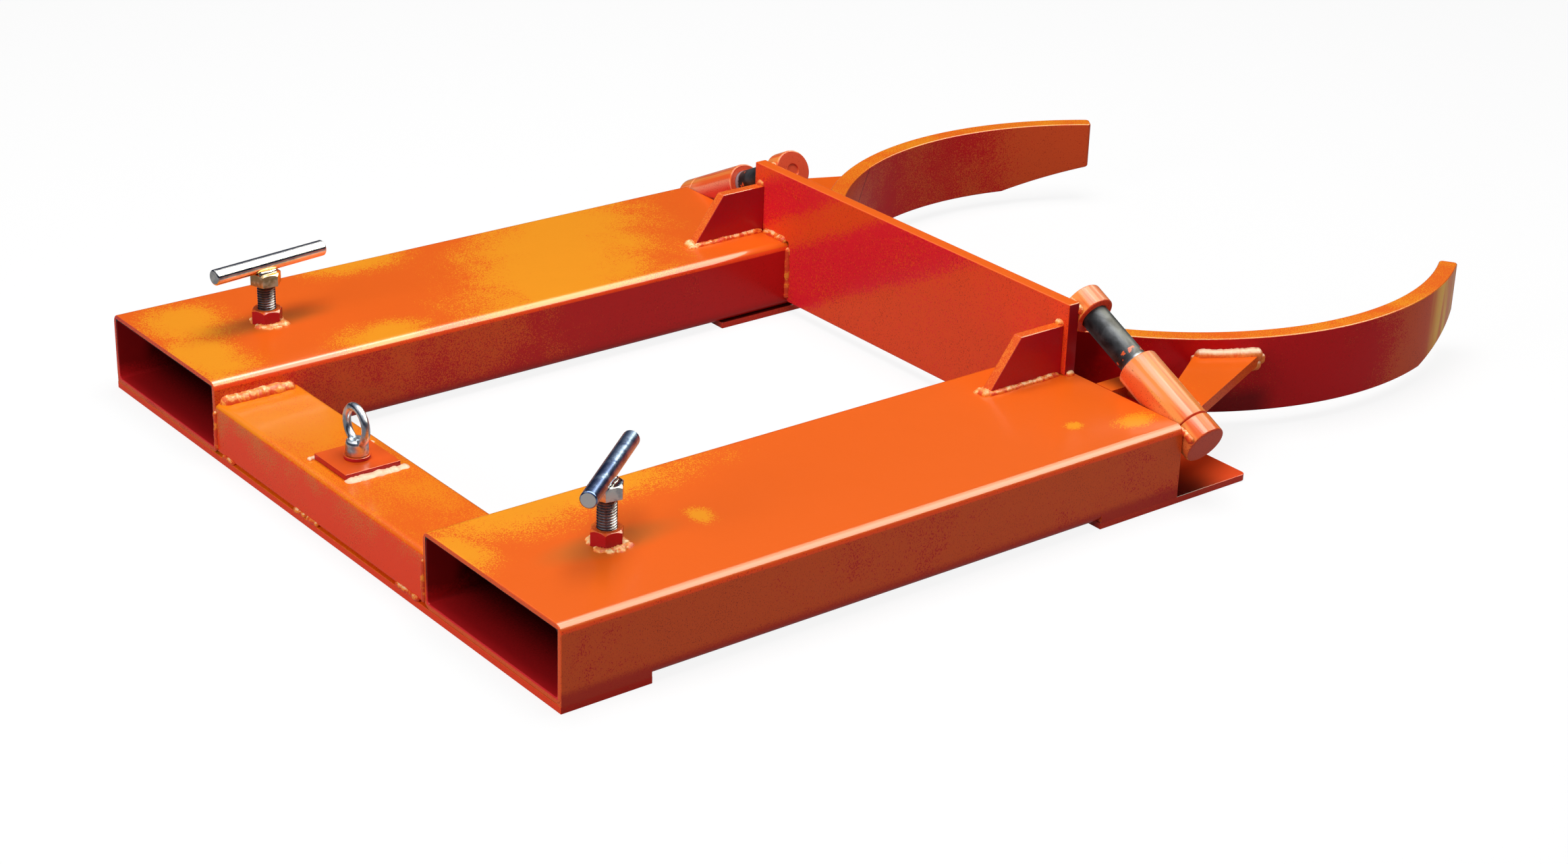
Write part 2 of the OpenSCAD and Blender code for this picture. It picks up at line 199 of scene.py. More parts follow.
class Finish(Tree):
    """A material with one Principled shader, whose sockets are named in the last call."""

    def __init__(self, name):
        self.material = bpy.data.materials.new(name)
        self.material.use_nodes = True
        super().__init__(self.material.node_tree)
        self.tree.nodes.clear()

    def place(self):
        """Where the surface lies, in the piece's own axes."""
        return self.node("ShaderNodeTexCoord", None, None, "Object")

    def faces(self):
        """The way that the surface faces, in the piece's own axes."""
        return self.node("ShaderNodeTexCoord", None, None, "Normal")

    def grain(self, scale, detail=2.0, roughness=0.5, distortion=0.0, stretch=(1, 1, 1), shift=(0, 0, 0)):
        """Noise from 0 to 1 on the piece's own coordinates; scale counts features in a metre."""
        where = self.node("ShaderNodeMapping", None,
                          {"Vector": self.place(), "Scale": stretch, "Location": shift})
        return self.node("ShaderNodeTexNoise", None,
                         {"Vector": where, "Scale": scale, "Detail": detail, "Roughness": roughness,
                          "Distortion": distortion})

    def bump(self, height, distance, strength):
        """A normal that makes the height, from 0 to 1, look raised by as much of the distance."""
        return self.node("ShaderNodeBump", None, {"Height": height, "Distance": distance, "Strength": strength})

    def surface(self, **sockets):
        """The material, closed with a Principled shader that has these sockets."""
        named = {name.replace("_", " "): value for name, value in sockets.items()}
        shader = self.node("ShaderNodeBsdfPrincipled", None, named)
        self.close(shader)
        return self.material

    def close(self, shader):
        """Makes the shader the material's surface."""
        end = self.tree.nodes.new("ShaderNodeOutputMaterial")
        self.tree.links.new(shader.socket, end.inputs["Surface"])


class Coat(Finish):
    """The orange enamel on one kind of piece, with where each spot lies and how it faces."""

    def __init__(self, where):
        super().__init__("orange_paint_on_" + where)
        self.x, self.y, self.z = self.parts(self.place())
        _, aside, self.up = self.parts(self.faces())
        self.wide, self.across = abs(self.y), abs(aside)
        self.top = self.up.ramp(0.35, 0.62)
        self.dust = self.grain(650, 2, 0.6)
        self.cloud = self.grain(16, 4, 0.6, 0.4) - 0.5


# Painted sheen on the pockets' tops, lighter patches that stand for the lamps' soft reflection: middle, reach along
# X and along Y, in mm
SHEEN_PATCHES = [((-20, 215), 40, 70), ((70, -172), 160, 50), ((147, -262), 13, 19),
                 ((548, -321), 24, 15), ((200, 345), 70, 40), ((130, 178), 60, 34),
                 ((-36, -212), 26, 46), ((500, -300), 10, 8), ((0, 300), 48, 62)]
# A band of painted sheen lies aslant over the left pocket's top: its slope, its place along X and its half width,
# in m
BAND_SLOPE, BAND_X, BAND_HALF, BAND_FROM_Y, BEYOND_THE_BAND = 0.52, 0.233, 0.128, 0.150, 9


def painted_sheen(x, y):
    """How strong the painted sheen is on the upper faces: 1 in the middle of a patch, 0 at its edge and less
    outside.
    """
    band = abs(x - y * BAND_SLOPE - BAND_X) / BAND_HALF
    outside = band + (y > BAND_FROM_Y).ramp(0, 1, BEYOND_THE_BAND, 0)
    for (middle_x, middle_y), reach_x, reach_y in SHEEN_PATCHES:
        across, along = (x - middle_x * MM) / (reach_x * MM), (y - middle_y * MM) / (reach_y * MM)
        outside = outside.least((across * across + along * along) ** 0.5)
    return 1.0 - outside


def round_the_arm(coat):
    """On an arm: the angle from the plate, in radians, and the reach ahead and aside from the arc's centre."""
    ahead = ARM_X * MM - coat.x
    return coat.wide.maths("ARCTAN2", ahead), ahead, coat.wide


def outside_the_arc(ahead, aside):
    """1 on an arm's outer half and 0 on its inner half."""
    return (ahead * ahead + aside * aside) ** 0.5 > ARM_MIDDLE_R * MM


def off_the_seam(ahead, aside, z):
    """How far a spot on an arm lies from its leaning butt seam."""
    lean = math.radians(SEAM_AT)
    return abs(aside * math.cos(lean) - ahead * math.sin(lean) - z + ARM_MIDDLE_Z * MM)


def top_sheen(where, coat):
    """How far an upper face leans from the first to the second, lighter of its two tones, before the clouds:
    painted sheen on the pockets, lighter towards +Y on the beam.
    """
    if where == "pockets":
        return painted_sheen(coat.x, coat.y)
    if where == "beam":
        return coat.y * 1.3 + 0.36
    return {"arms": 0.22, "nuts": 0.14}.get(where, -0.25)


def side_tone(where, coat):
    """How far an upright face leans from the first to the second of its two tones; on the pockets and the arms this
    follows painted shade.
    """
    x, y, z = coat.x, coat.y, coat.z
    # Pockets: redder on the left pocket's walls, most of all towards the back plate, as painted shade
    if where == "pockets":
        return 0.82 - y.ramp(-0.1, 0.1) * (0.22 + x.ramp(0.20, 0.42) * 0.65)
    if where == "plate":
        across = y + z * 1.95
        bands = abs(across - 0.226).least(abs(across - 0.400) + 0.02)
        return bands.ramp(0.045, 0.085) * 0.82 + 0.18
    if where == "beam":
        return z.ramp(0.012, 0.05) * 0.40 + 0.08
    # Arms: darker red as painted shade on the middle of the inner face, and on the outer face towards the root
    if where == "arms":
        turn, ahead, aside = round_the_arm(coat)
        inner = 1.0 - turn.ramp(0.80, 1.15) * turn.ramp(1.75, 2.02, 1, 0) * 0.60
        return inner + outside_the_arc(ahead, aside) * (turn.ramp(1.46, 1.84) - inner)
    return 0.42


def streak_the_hinge(coat):
    """Upright tones of sleeves and collars: streaks along them with pink painted highlights, painted shade on the
    far side, and red end faces as painted shade.
    """
    tone = coat.grain(230, 2, 0.5, 0.0, (1, 0.05, 0.05)).ramp(0.40, 0.60)
    # Pink painted highlights streaked along the sleeve
    highlight = coat.grain(150, 2, 0.5, 0.0, (1, 0.04, 0.04), (3, 5, 1)).ramp(0.52, 0.66)
    shaded = (coat.y > 0.0) * coat.up.ramp(-0.1, 0.7, 1, 0)
    upright = coat.mix(highlight * 0.8, coat.mix(tone, *SHADED_UPRIGHT_TONES["hinges"]), HIGHLIGHT_PINK)
    upright = coat.mix(shaded * 0.9, upright, HINGE_SHADE)
    # End faces darker and redder as painted shade
    return coat.mix(coat.across.ramp(0.60, 0.80), upright, HINGE_END_SHADE)


def shade_the_pockets(coat, base):
    """On a pocket: a red band of painted shading over its long rolled edges, and an olive painted shadow before and
    behind its nut.
    """
    # Painted shading where the rounded edge turns from top to side
    roll_shading = coat.up.ramp(0.04, 0.16) * coat.up.ramp(0.38, 0.60, 1, 0)
    base = coat.mix(roll_shading * 0.85, base, ROLL_SHADING_RED)
    # Olive painted shadow of the tee bar on the pocket's top, before and behind the nut
    beside, along = (coat.wide - SCREW_Y * MM) / 0.026, (coat.x - SCREW_X * MM) / 0.075
    nut_shadow = (beside * beside + along * along) ** 0.5 + coat.cloud * 0.4
    return coat.mix(nut_shadow.ramp(0.25, 1.0, 0.65, 0.0) * coat.top, base, SHADOW_OLIVE)


def shade_the_mouths(coat, base):
    """Inside a pocket: painted shade, near black with depth, with the floor and the first of the walls still red.
    """
    within = (coat.wide > (POCKET_IN + 4) * MM) * ((POCKET_OUT - 4) * MM - coat.wide > 0.0)
    within = within * (coat.z > (POCKET_LOW + 4) * MM) * ((POCKET_TOP - 4) * MM - coat.z > 0.0)
    deep = (coat.x + HEEL_X * MM).least(POCKET_END * MM - coat.x)
    floor = (coat.z + coat.dust * 0.012).ramp(0.016, 0.044, 1, 0) * deep.ramp(0.01, 0.16, 1, 0.3)
    floor = coat.up.ramp(0.2, 0.8).most(floor) * (coat.dust * 0.02 + deep).ramp(0.010, 0.068, 1, 0.05)
    wall = coat.across.ramp(0.5, 0.9) * (coat.cloud * 0.02 + deep).ramp(0.020, 0.040, 0.42, 0)
    return coat.mix(within, base, coat.mix(floor.most(wall), MOUTH_SHADE_DARK, MOUTH_SHADE_RED))


def stripe_the_arm(coat, base):
    """On an arm: painted highlight stripes at the tip, painted shadow at the root and under the bracket, and the
    seam's dark line.
    """
    turn, ahead, aside = round_the_arm(coat)
    outer, upright = outside_the_arc(ahead, aside), 1.0 - coat.top
    # Painted highlight stripes on the outer face near the tip
    highlight_stripes = coat.grain(55, 2, 0.5, 0.2, (1, 1, 0.06)).ramp(0.42, 0.58)
    base = coat.mix(turn.ramp(1.84, 1.98) * outer * upright, base, coat.mix(highlight_stripes, TIP_HIGHLIGHT_ORANGE, TIP_HIGHLIGHT_YELLOW))
    # Near black painted shadow under the bracket and at the root
    below = (coat.z + coat.cloud * 0.02).ramp(0.030, 0.050, 1, 0)
    shaded = turn.ramp(0.94, 1.04) * turn.ramp(1.15, 1.24, 1, 0) * below
    shaded = shaded.most((turn + coat.cloud * 0.3).ramp(0.66, 0.76, 1, 0)) * outer * upright
    base = coat.mix(shaded * 0.62, base, SHADOW_BLACK)
    seam = off_the_seam(ahead, aside, coat.z).ramp(0.0010, 0.0022, 0.85, 0.0)
    return coat.mix(seam * (1.0 - outer) * upright, base, SEAM_RED)


def make_orange_paint(where):
    """Sprayed orange enamel: painted sheen stippled on the tops, darker and redder upright faces as painted shade,
    painted shade low down and in the pockets' mouths, painted highlights and shadows on the arms, orange peel, slow
    runs.
    """
    coat = Coat(where)
    grit = coat.grain(850, 2, 0.6) - 0.5
    # The lighter tone stippled over the upper faces is painted sheen
    light = (top_sheen(where, coat) + coat.cloud * 1.2 + grit * 2.2).ramp(0.22, 0.38)
    upper = coat.mix(light * 0.95, *LIT_UPPER_TONES.get(where, LIT_UPPER_ELSEWHERE))
    if where == "hinges":
        base = coat.mix(coat.top * 0.25, streak_the_hinge(coat), upper)
    else:
        grit = grit * (3.4 if where == "plate" else 2.0)
        tone = (side_tone(where, coat) + coat.cloud * 1.3 + grit).ramp(0.38, 0.62)
        upright = coat.mix(tone, *SHADED_UPRIGHT_TONES[where])
        # The plate's end faces take a deep maroon as painted shade
        if where == "plate":
            upright = coat.mix(coat.across.ramp(0.6, 0.95), upright, PLATE_END_SHADE)
        base = coat.mix(coat.top, upright, upper)
    if where == "pockets":
        base = shade_the_pockets(coat, base)
    speck = (coat.grain(900, 2, 0.6, 0.0, (1, 1, 1), (3, 1, 2)) + coat.cloud * 0.3).ramp(0.60, 0.68)
    base = coat.mix(speck * (1.0 - coat.top) * 0.6, base, SPECK_RED)
    # Upright faces of pockets and beam darker red below about 16 mm from the floor, as painted shade
    if where in ("pockets", "beam"):
        low = (0.016 + coat.dust * 0.008 - coat.z).ramp(0.0, 0.008) * coat.across.ramp(0.3, 0.8)
        base = coat.mix(low * (1.0 - coat.top) * 0.75, base, LOW_SHADE_RED)
    if where == "pockets":
        base = shade_the_mouths(coat, base)
    # Near black painted shadow on the skids' tops next to the pockets' ends
    if where == "skids":
        base = coat.mix(coat.x.ramp(0.580, 0.645, 0.95, 0.0) * coat.top, base, SHADOW_BLACK)
    if where == "arms":
        base = stripe_the_arm(coat, base)
    peel, runs = coat.grain(420, 2, 0.5), coat.grain(30, 2, 0.5)
    slope = coat.up.ramp(0.15, 0.45) * coat.up.ramp(0.82, 0.97, 1, 0)
    slope = slope * (HINGE_SLOPE_COAT if where == "hinges" else SLOPE_COAT)
    return coat.surface(Base_Color=base, Roughness=0.18 + coat.dust * 0.08,
                        Normal=coat.bump(peel * 0.25 + runs, 0.0006, 0.35),
                        Specular_IOR_Level=GLOSS.get(where, GLOSS_ELSEWHERE),
                        Coat_Weight=0.05 + slope, Coat_Roughness=0.07)


def make_weld_paint(name, dark, middle, highlight, least_highlight):
    """Paint over weld metal: mottled from dark red to orange, redder where it faces down as painted shade, and pale
    with painted highlight where it faces up over the crowns.
    """
    paint = Finish(name)
    up = paint.parts(paint.faces())[2]
    scale = paint.grain(150, 3, 0.6, 0.6)
    fine = paint.grain(600, 3, 0.6)
    base = paint.mix((scale + (fine - 0.5) * 0.4 + up * 0.16).ramp(0.48, 0.66), dark, middle)
    # Pale painted highlight on the up-facing crowns
    crown = (scale * 0.8 + fine * 0.2).ramp(0.48, 0.60).most(least_highlight) * up.ramp(0.30, 0.80)
    base = paint.mix(crown, base, highlight)
    return paint.surface(Base_Color=base, Roughness=0.24 + fine * 0.16,
                         Normal=paint.bump(fine + scale, 0.0009, 0.4),
                         Specular_IOR_Level=GLOSS_ELSEWHERE, Coat_Weight=0.08, Coat_Roughness=0.10)


# The orange on zinc undersides is a painted reflection of the orange paint; the stain and the sawn grey are the
# metal's own
STAIN, REFLECTED_ORANGE, SAWN_GREY = (0.50, 0.44, 0.32, 1), (0.96, 0.56, 0.16, 1), (0.36, 0.38, 0.38, 1)


def make_zinc_plate(name, dull, bright, haze, sawn=None, reflected_orange=0.0):
    """Zinc plating between two tones, clouded and brushed; haze is its least roughness, sawn the way its ends
    face, and the last how much orange shows in its undersides, as a painted reflection of the orange paint."""
    zinc = Finish(name)
    cloud = zinc.grain(60, 2, 0.5, 0.5)
    brush = zinc.grain(300, 2, 0.5)
    tint = zinc.grain(35, 2, 0.5, 0.8, (1, 1, 1), (2, 4, 6))
    base = zinc.mix((cloud + (brush - 0.5) * 0.5).ramp(0.38, 0.62), dull, bright)
    base = zinc.mix(tint.ramp(0.60, 0.85) * 0.25, base, STAIN)
    # Painted reflection of the orange paint on the downward faces
    base = zinc.mix(zinc.parts(zinc.faces())[2].ramp(-0.55, -0.10, reflected_orange, 0.0), base, REFLECTED_ORANGE)
    metal = 1.0
    if sawn:
        end = abs(zinc.vector("DOT_PRODUCT", zinc.faces(), sawn, output="Value")).ramp(0.90, 0.97)
        base, metal = zinc.mix(end, base, SAWN_GREY), 1.0 - end
    return zinc.surface(Base_Color=base, Metallic=metal, Roughness=haze + cloud * 0.10,
                        Normal=zinc.bump(brush, 0.0002, 0.12))


OIL_BLACK, OIL_GREY = (0.010, 0.011, 0.013, 1), (0.070, 0.076, 0.084, 1)
# A painted highlight where the pin comes out of the sleeve, and a real splash of paint
RIM_HIGHLIGHT, SPLASHED = (0.46, 0.48, 0.54, 1), (0.70, 0.10, 0.02, 1)


def make_pin_steel():
    """Dark oiled bar, with a painted highlight round it where it comes out of the sleeve and a splash of paint
    above.
    """
    steel = Finish("pin_steel_finish")
    _, y, z = steel.parts(steel.place())
    low_y, low_z = (part * MM for part in HINGE_LOW)
    high_y, high_z = (part * MM for part in HINGE_HIGH)
    long = math.hypot(high_y - low_y, high_z - low_z)
    up = (low_y - abs(y)) * ((low_y - high_y) / long) + (z - low_z) * ((high_z - low_z) / long)
    cloud = steel.grain(45, 4, 0.65, 0.6)
    fine = steel.grain(500, 2, 0.6)
    splash = steel.grain(110, 3, 0.6, 0.3, (1, 1, 1), (5, 3, 1))
    splash = (splash * up.ramp(0.099, 0.102) * up.ramp(0.107, 0.112, 1, 0)).ramp(0.57, 0.61)
    # Painted highlight in a ring where the pin meets the sleeve's end
    rim_highlight = (up + (cloud - 0.5) * 0.012).ramp(0.0965, 0.0995, 1, 0)
    base = steel.mix(cloud.ramp(0.35, 0.7), OIL_BLACK, OIL_GREY)
    base = steel.mix(rim_highlight * 0.8, base, RIM_HIGHLIGHT)
    base = steel.mix(splash * 0.9, base, SPLASHED)
    return steel.surface(Base_Color=base, Metallic=0.5 * (1 - splash), Roughness=0.30 + cloud * 0.25,
                         Normal=steel.bump(cloud + fine * 0.3, 0.0005, 0.4))


# Weld paints: dark, middle and painted highlight tones, and the least share of painted highlight; zinc: dull and
# bright tones, haze
WELD_PAINTS = {
    "welds": ((0.70, 0.055, 0.016, 1), (0.90, 0.240, 0.024, 1), (0.96, 0.62, 0.32, 1), 0.0),
    "nut_welds": ((0.74, 0.080, 0.018, 1), (0.92, 0.300, 0.036, 1), (0.95, 0.66, 0.33, 1), 0.12),
    "flat_welds": ((0.86, 0.180, 0.030, 1), (0.92, 0.300, 0.060, 1), (0.95, 0.68, 0.47, 1), 0.85)}
TEE_WAY = (math.cos(math.radians(TEE_TURN["right"])), math.sin(math.radians(TEE_TURN["right"])), 0)
ZINC_PLATES = {
    "zinc_plate": ("zinc_plate_finish", (0.50, 0.51, 0.53, 1), (0.78, 0.77, 0.74, 1), 0.09, None, 0.85),
    "heads": ("zinc_head_finish", (0.46, 0.30, 0.15, 1), (0.80, 0.60, 0.38, 1), 0.12, None, 0.9),
    "silvery": ("silvery_zinc_finish", (0.42, 0.49, 0.58, 1), (0.86, 0.90, 0.94, 1), 0.24),
    "dull": ("dull_zinc_finish", (0.13, 0.12, 0.13, 1), (0.30, 0.30, 0.33, 1), 0.16),
    "frosted": ("frosted_zinc_finish", (0.12, 0.18, 0.38, 1), (0.34, 0.46, 0.70, 1), 0.20, TEE_WAY)}

FINISHES = {where: make_orange_paint(where) for where in SHADED_UPRIGHT_TONES}
FINISHES.update({name: make_weld_paint("orange_paint_on_" + name, *tones) for name, tones in WELD_PAINTS.items()})
FINISHES.update({name: make_zinc_plate(*tones) for name, tones in ZINC_PLATES.items()})
FINISHES.update({"orange_paint": FINISHES["arms"], "pin_steel": make_pin_steel()})
SLOT_OF = {part["node"]: part["material_slot"] for part in frame["record"]["subparts"]}


def new_object(name, data):
    """An object of the scene, made of a mesh, a lamp or a lens."""
    thing = bpy.data.objects.new(name, data)
    bpy.context.scene.collection.objects.link(thing)
    return thing


def new_piece(name, mesh, slot):
    """An object in the finish that its name gives it or else its slot."""
    piece = new_object(name, mesh)
    mesh.materials.clear()
    mesh.materials.append(FINISHES[next((coat for stem, coat in COATED.items() if name.startswith(stem)), slot)])
    return piece


def as_mesh(shape, name):
    """A mesh of a shape that is done with."""
    mesh = bpy.data.meshes.new(name)
    shape.to_mesh(mesh)
    shape.free()
    return mesh


def settle(piece):
    """The piece with its modifiers worked into its mesh."""
    seen = piece.evaluated_get(bpy.context.evaluated_depsgraph_get())
    mesh = bpy.data.meshes.new_from_object(seen)
    piece.modifiers.clear()
    piece.data = mesh
    return piece


def merged_copy(node):
    """The CAD node's mesh with its doubles merged and its flat faces whole."""
    shape = bmesh.new()
    shape.from_mesh(frame["nodes"][node].data)
    bmesh.ops.remove_doubles(shape, verts=shape.verts, dist=2e-6)
    bmesh.ops.dissolve_limit(shape, angle_limit=math.radians(0.4), verts=shape.verts, edges=shape.edges,
                             delimit={"NORMAL"})
    return shape


# The least turn between two faces, in degrees, that makes an edge sharp, and the faces across a rounded one
SHARP_TURN, ROUND_STEPS = 28, 3
# How far an arm's tip is rounded over, in mm, and the turn from slice to slice, in degrees
TIP_ROUND, TIP_TURN = 4.0, 15


def rounding(node, edge):
    """The share of its piece's rounding that an edge gets: none where an arm's root and arc are butted together."""
    if not edge.is_manifold or edge.calc_face_angle() < math.radians(SHARP_TURN):
        return 0.0
    if node.startswith(("arm_root", "clamp_arm")) and all(
            off_the_seam(ARM_X * MM - v.co.x, abs(v.co.y), v.co.z) < 0.1 * MM for v in edge.verts):
        edge.smooth = False
        return 0.0
    return 1.0


def round_the_tip(shape):
    """Rounds over the upright edges of an arm's tip: cuts narrow slices there and draws each one in."""
    side, tip = math.copysign(1, sum(v.co.y for v in shape.verts)), math.radians(ARM_TIP)
    for turn in range(TIP_TURN, 91, TIP_TURN):
        angle = tip - TIP_ROUND * (1 - math.cos(math.radians(turn))) / ARM_MIDDLE_R
        bmesh.ops.bisect_plane(shape, geom=shape.verts[:] + shape.edges[:] + shape.faces[:], dist=1e-6,
                               plane_co=(ARM_X * MM, 0, 0), plane_no=(math.sin(angle), side * math.cos(angle), 0))
    for v in shape.verts:
        ahead, aside = ARM_X * MM - v.co.x, v.co.y
        reach = math.hypot(ahead, aside) / MM
        back = (tip - math.atan2(abs(aside), ahead)) * ARM_MIDDLE_R
        if back < TIP_ROUND:
            inset = TIP_ROUND - math.sqrt(max(TIP_ROUND ** 2 - (TIP_ROUND - max(back, 0)) ** 2, 0))
            share = (reach - math.copysign(inset, reach - ARM_MIDDLE_R)) / reach
            v.co.x, v.co.y = ARM_X * MM - ahead * share, aside * share
    shape.normal_update()


def soften(node, width, body, trim=None):
    """A copy of a CAD node whose sharp edges are rounded over by width, in mm, and which takes its place."""
    shape = merged_copy(node)
    if trim:
        trim(shape)
    weight = shape.edges.layers.float.new("bevel_weight_edge")
    for edge in shape.edges:
        edge[weight] = rounding(node, edge)
    mesh = as_mesh(shape, node + "_finished")
    for polygon in mesh.polygons:
        polygon.use_smooth = True
    piece = new_piece(node + "_finished", mesh, SLOT_OF[node])
    rounded = piece.modifiers.new("rounded edges", "BEVEL")
    rounded.width, rounded.segments = width * MM, ROUND_STEPS
    rounded.limit_method, rounded.miter_outer = "WEIGHT", "MITER_ARC"
    # The narrow slices of a rounded tip would hold the rounding back, and would send it off along their own edges
    rounded.use_clamp_overlap = rounded.loop_slide = trim is not round_the_tip
    piece.modifiers.new("flat faces", "WEIGHTED_NORMAL").keep_sharp = True
    settle(piece)
    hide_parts(node)
    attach(piece, body)


# Painted pieces with their edges rounded over, in mm
EDGES = {"fork_pocket": 1.0, "front_skid": 0.5, "gusset": 1.0, "upper_collar": 0.6, "lower_collar": 0.6,
         "hinge_pin": 0.3, "weld_nut": 0.5}
MIDDLE_EDGES = {"heel_beam": 0.8, "heel_skid": 0.4, "back_plate": 1.2, "eye_pad": 1.0, "eye_boss": 0.6}
ARM_EDGES = {"hinge_sleeve": 0.5, "arm_bracket": 1.0, "arm_root": 1.4, "clamp_arm": 1.4}
SCREW_EDGES = 0.5
for side in SIDES:
    for stem, width in EDGES.items():
        soften(f"{stem}_{side}", width, "frame")
    for stem, width in ARM_EDGES.items():
        soften(f"{stem}_{side}", width, f"arm_{side}", trim=round_the_tip if stem == "clamp_arm" else None)
for node, width in MIDDLE_EDGES.items():
    soften(node, width, "frame")


def open_group(name, inputs):
    """The tree of a new Geometry Nodes group, and its inputs by name."""
    group = bpy.data.node_groups.new(name, "GeometryNodeTree")
    for title, kind in inputs.items():
        group.interface.new_socket(title, in_out="INPUT", socket_type="NodeSocket" + kind)
    group.interface.new_socket("Geometry", in_out="OUTPUT", socket_type="NodeSocketGeometry")
    tree = Tree(group)
    given = group.nodes.new("NodeGroupInput")
    return tree, {socket.name: Value(tree, socket) for socket in given.outputs if socket.name}


def close_group(tree, shape, material):
    """The finished group: the shape is shaded smooth, gets its material and becomes the output."""
    shape = tree.node("GeometryNodeSetShadeSmooth", None, {"Geometry": shape})
    shape = tree.node("GeometryNodeRealizeInstances", None, {"Geometry": shape})
    shape = tree.node("GeometryNodeSetMaterial", None, {"Geometry": shape, "Material": material})
    end = tree.tree.nodes.new("NodeGroupOutput")
    tree.tree.links.new(shape.socket, end.inputs["Geometry"])
    return tree.tree


def run_tree(piece, group, values):
    """Runs a Geometry Nodes group on a piece with named values, and works it into the piece's mesh."""
    modifier = piece.modifiers.new(group.name, "NODES")
    modifier.node_group = group
    for item in group.interface.items_tree:
        if item.item_type == "SOCKET" and item.in_out == "INPUT" and item.name in values:
            modifier[item.identifier] = values[item.name]
    return settle(piece)


# Screws: a head from the CAD and a cut thread, which goes a little way up into the head
THREAD_DEPTH, INTO_HEAD = 1.2, 1


def keep_head(shape):
    """Takes a screw's shank off, so that its head is left for the cut thread."""
    top = max(v.co.z for v in shape.verts)
    gone = [v for v in shape.verts if v.co.z < top - (HEAD_H + 0.5) * MM]
    bmesh.ops.delete(shape, geom=gone, context="VERTS")


def thread_tree():
    """Geometry Nodes for a threaded rod along Z: a tube whose skin is drawn in along a helix."""
    tree, size = open_group("cut_thread", {"Foot": "Vector", "Length": "Float", "Radius": "Float",
                                           "Pitch": "Float", "Depth": "Float", "Material": "Material"})
    tall = tree.node("ShaderNodeCombineXYZ", None, {"Z": size["Length"]})
    top = tree.vector("ADD", size["Foot"], tall)
    line = tree.node("GeometryNodeCurvePrimitiveLine", None, {"Start": size["Foot"], "End": top})
    line = tree.node("GeometryNodeResampleCurve", {"mode": "LENGTH"}, {"Curve": line, "Length": size["Pitch"] / 8})
    ring = tree.node("GeometryNodeCurvePrimitiveCircle", None, {"Resolution": 48, "Radius": size["Radius"]})
    rod = tree.node("GeometryNodeCurveToMesh", None, {"Curve": line, "Profile Curve": ring, "Fill Caps": True})
    place = tree.vector("SUBTRACT", tree.node("GeometryNodeInputPosition"), size["Foot"])
    x, y, z = tree.parts(place)
    pitches = z / size["Pitch"]
    turn = pitches - y.maths("ARCTAN2", x) / math.tau
    cut = (turn.maths("PINGPONG", 0.5) * 2).ramp(0.12, 0.88).most(pitches.ramp(0.0, 1.0, 1.0, 0.0))
    inward = tree.vector("NORMALIZE", tree.node("ShaderNodeCombineXYZ", None, {"X": x, "Y": y}))
    inward = tree.scaled(inward, cut * size["Depth"] * -1)
    rod = tree.node("GeometryNodeSetPosition", None, {"Geometry": rod, "Offset": inward})
    return close_group(tree, rod, size["Material"])


cut_thread = thread_tree()
for side, sign in SIDES.items():
    soften(f"clamp_screw_{side}", SCREW_EDGES, f"screw_{side}", trim=keep_head)
    thread = new_piece(f"screw_thread_{side}", bpy.data.meshes.new(f"screw_thread_{side}"), "zinc_plate")
    tip = HEAD_LOW[side] - SCREW_LEN
    run_tree(thread, cut_thread, {"Foot": (SCREW_X * MM, sign * SCREW_Y * MM, tip * MM),
                                  "Length": (SCREW_LEN + INTO_HEAD) * MM, "Radius": SCREW_R * MM,
                                  "Pitch": SCREW_PITCH * MM, "Depth": THREAD_DEPTH * MM,
                                  "Material": FINISHES["dull"]})
    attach(thread, f"screw_{side}")
    soften(f"tee_bar_{side}", SCREW_EDGES, f"screw_{side}")


# Eye bolt: radius and height of its foot's outline, in mm, and the fineness of its skin
FOOT_PROFILE = ((0, 60), (9.0, 60), (9.5, 60.7), (9.5, 64.0), (9.3, 67.0), (9.3, 70.4), (8.5, 72.2),
                (6.2, 73.3), (0, 73.5))
SPIN_STEPS, BAR_SIDES, SKIN_GRAIN = 96, 32, 0.35


def forge_eye_bolt():
    """The eye bolt, whose ring and foot are drawn together as one forging."""
    shape = bmesh.new()
    rim = [shape.verts.new((radius * MM, 0, z * MM)) for radius, z in FOOT_PROFILE]
    edges = [shape.edges.new(pair) for pair in zip(rim, rim[1:])]
    bmesh.ops.spin(shape, geom=rim + edges, axis=(0, 0, 1), cent=(0, 0, 0), steps=SPIN_STEPS, angle=math.tau,
                   use_merge=True)
    ring = [shape.verts.new((EYE_BAR_R * math.cos(t) * MM, 0, (EYE_Z + EYE_RING_R + EYE_BAR_R * math.sin(t)) * MM))
            for t in (math.tau * k / BAR_SIDES for k in range(BAR_SIDES))]
    edges = [shape.edges.new((ring[k], ring[k - 1])) for k in range(BAR_SIDES)]
    bmesh.ops.spin(shape, geom=ring + edges, axis=(1, 0, 0), cent=(0, 0, EYE_Z * MM), steps=SPIN_STEPS,
                   angle=math.tau, use_merge=True)
    bmesh.ops.remove_doubles(shape, verts=shape.verts, dist=1e-6)
    bmesh.ops.recalc_face_normals(shape, faces=shape.faces)
    eye = new_piece("eye_bolt_forged", as_mesh(shape, "eye_bolt_forged"), "zinc_plate")
    skin = eye.modifiers.new("one skin", "REMESH")
    skin.mode, skin.voxel_size, skin.use_smooth_shade = "VOXEL", SKIN_GRAIN * MM, True
    blend = eye.modifiers.new("drawn fillets", "SMOOTH")
    blend.factor, blend.iterations = 0.5, 8
    settle(eye)
    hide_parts("eye_bolt")
    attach(eye, "frame")


forge_eye_bolt()


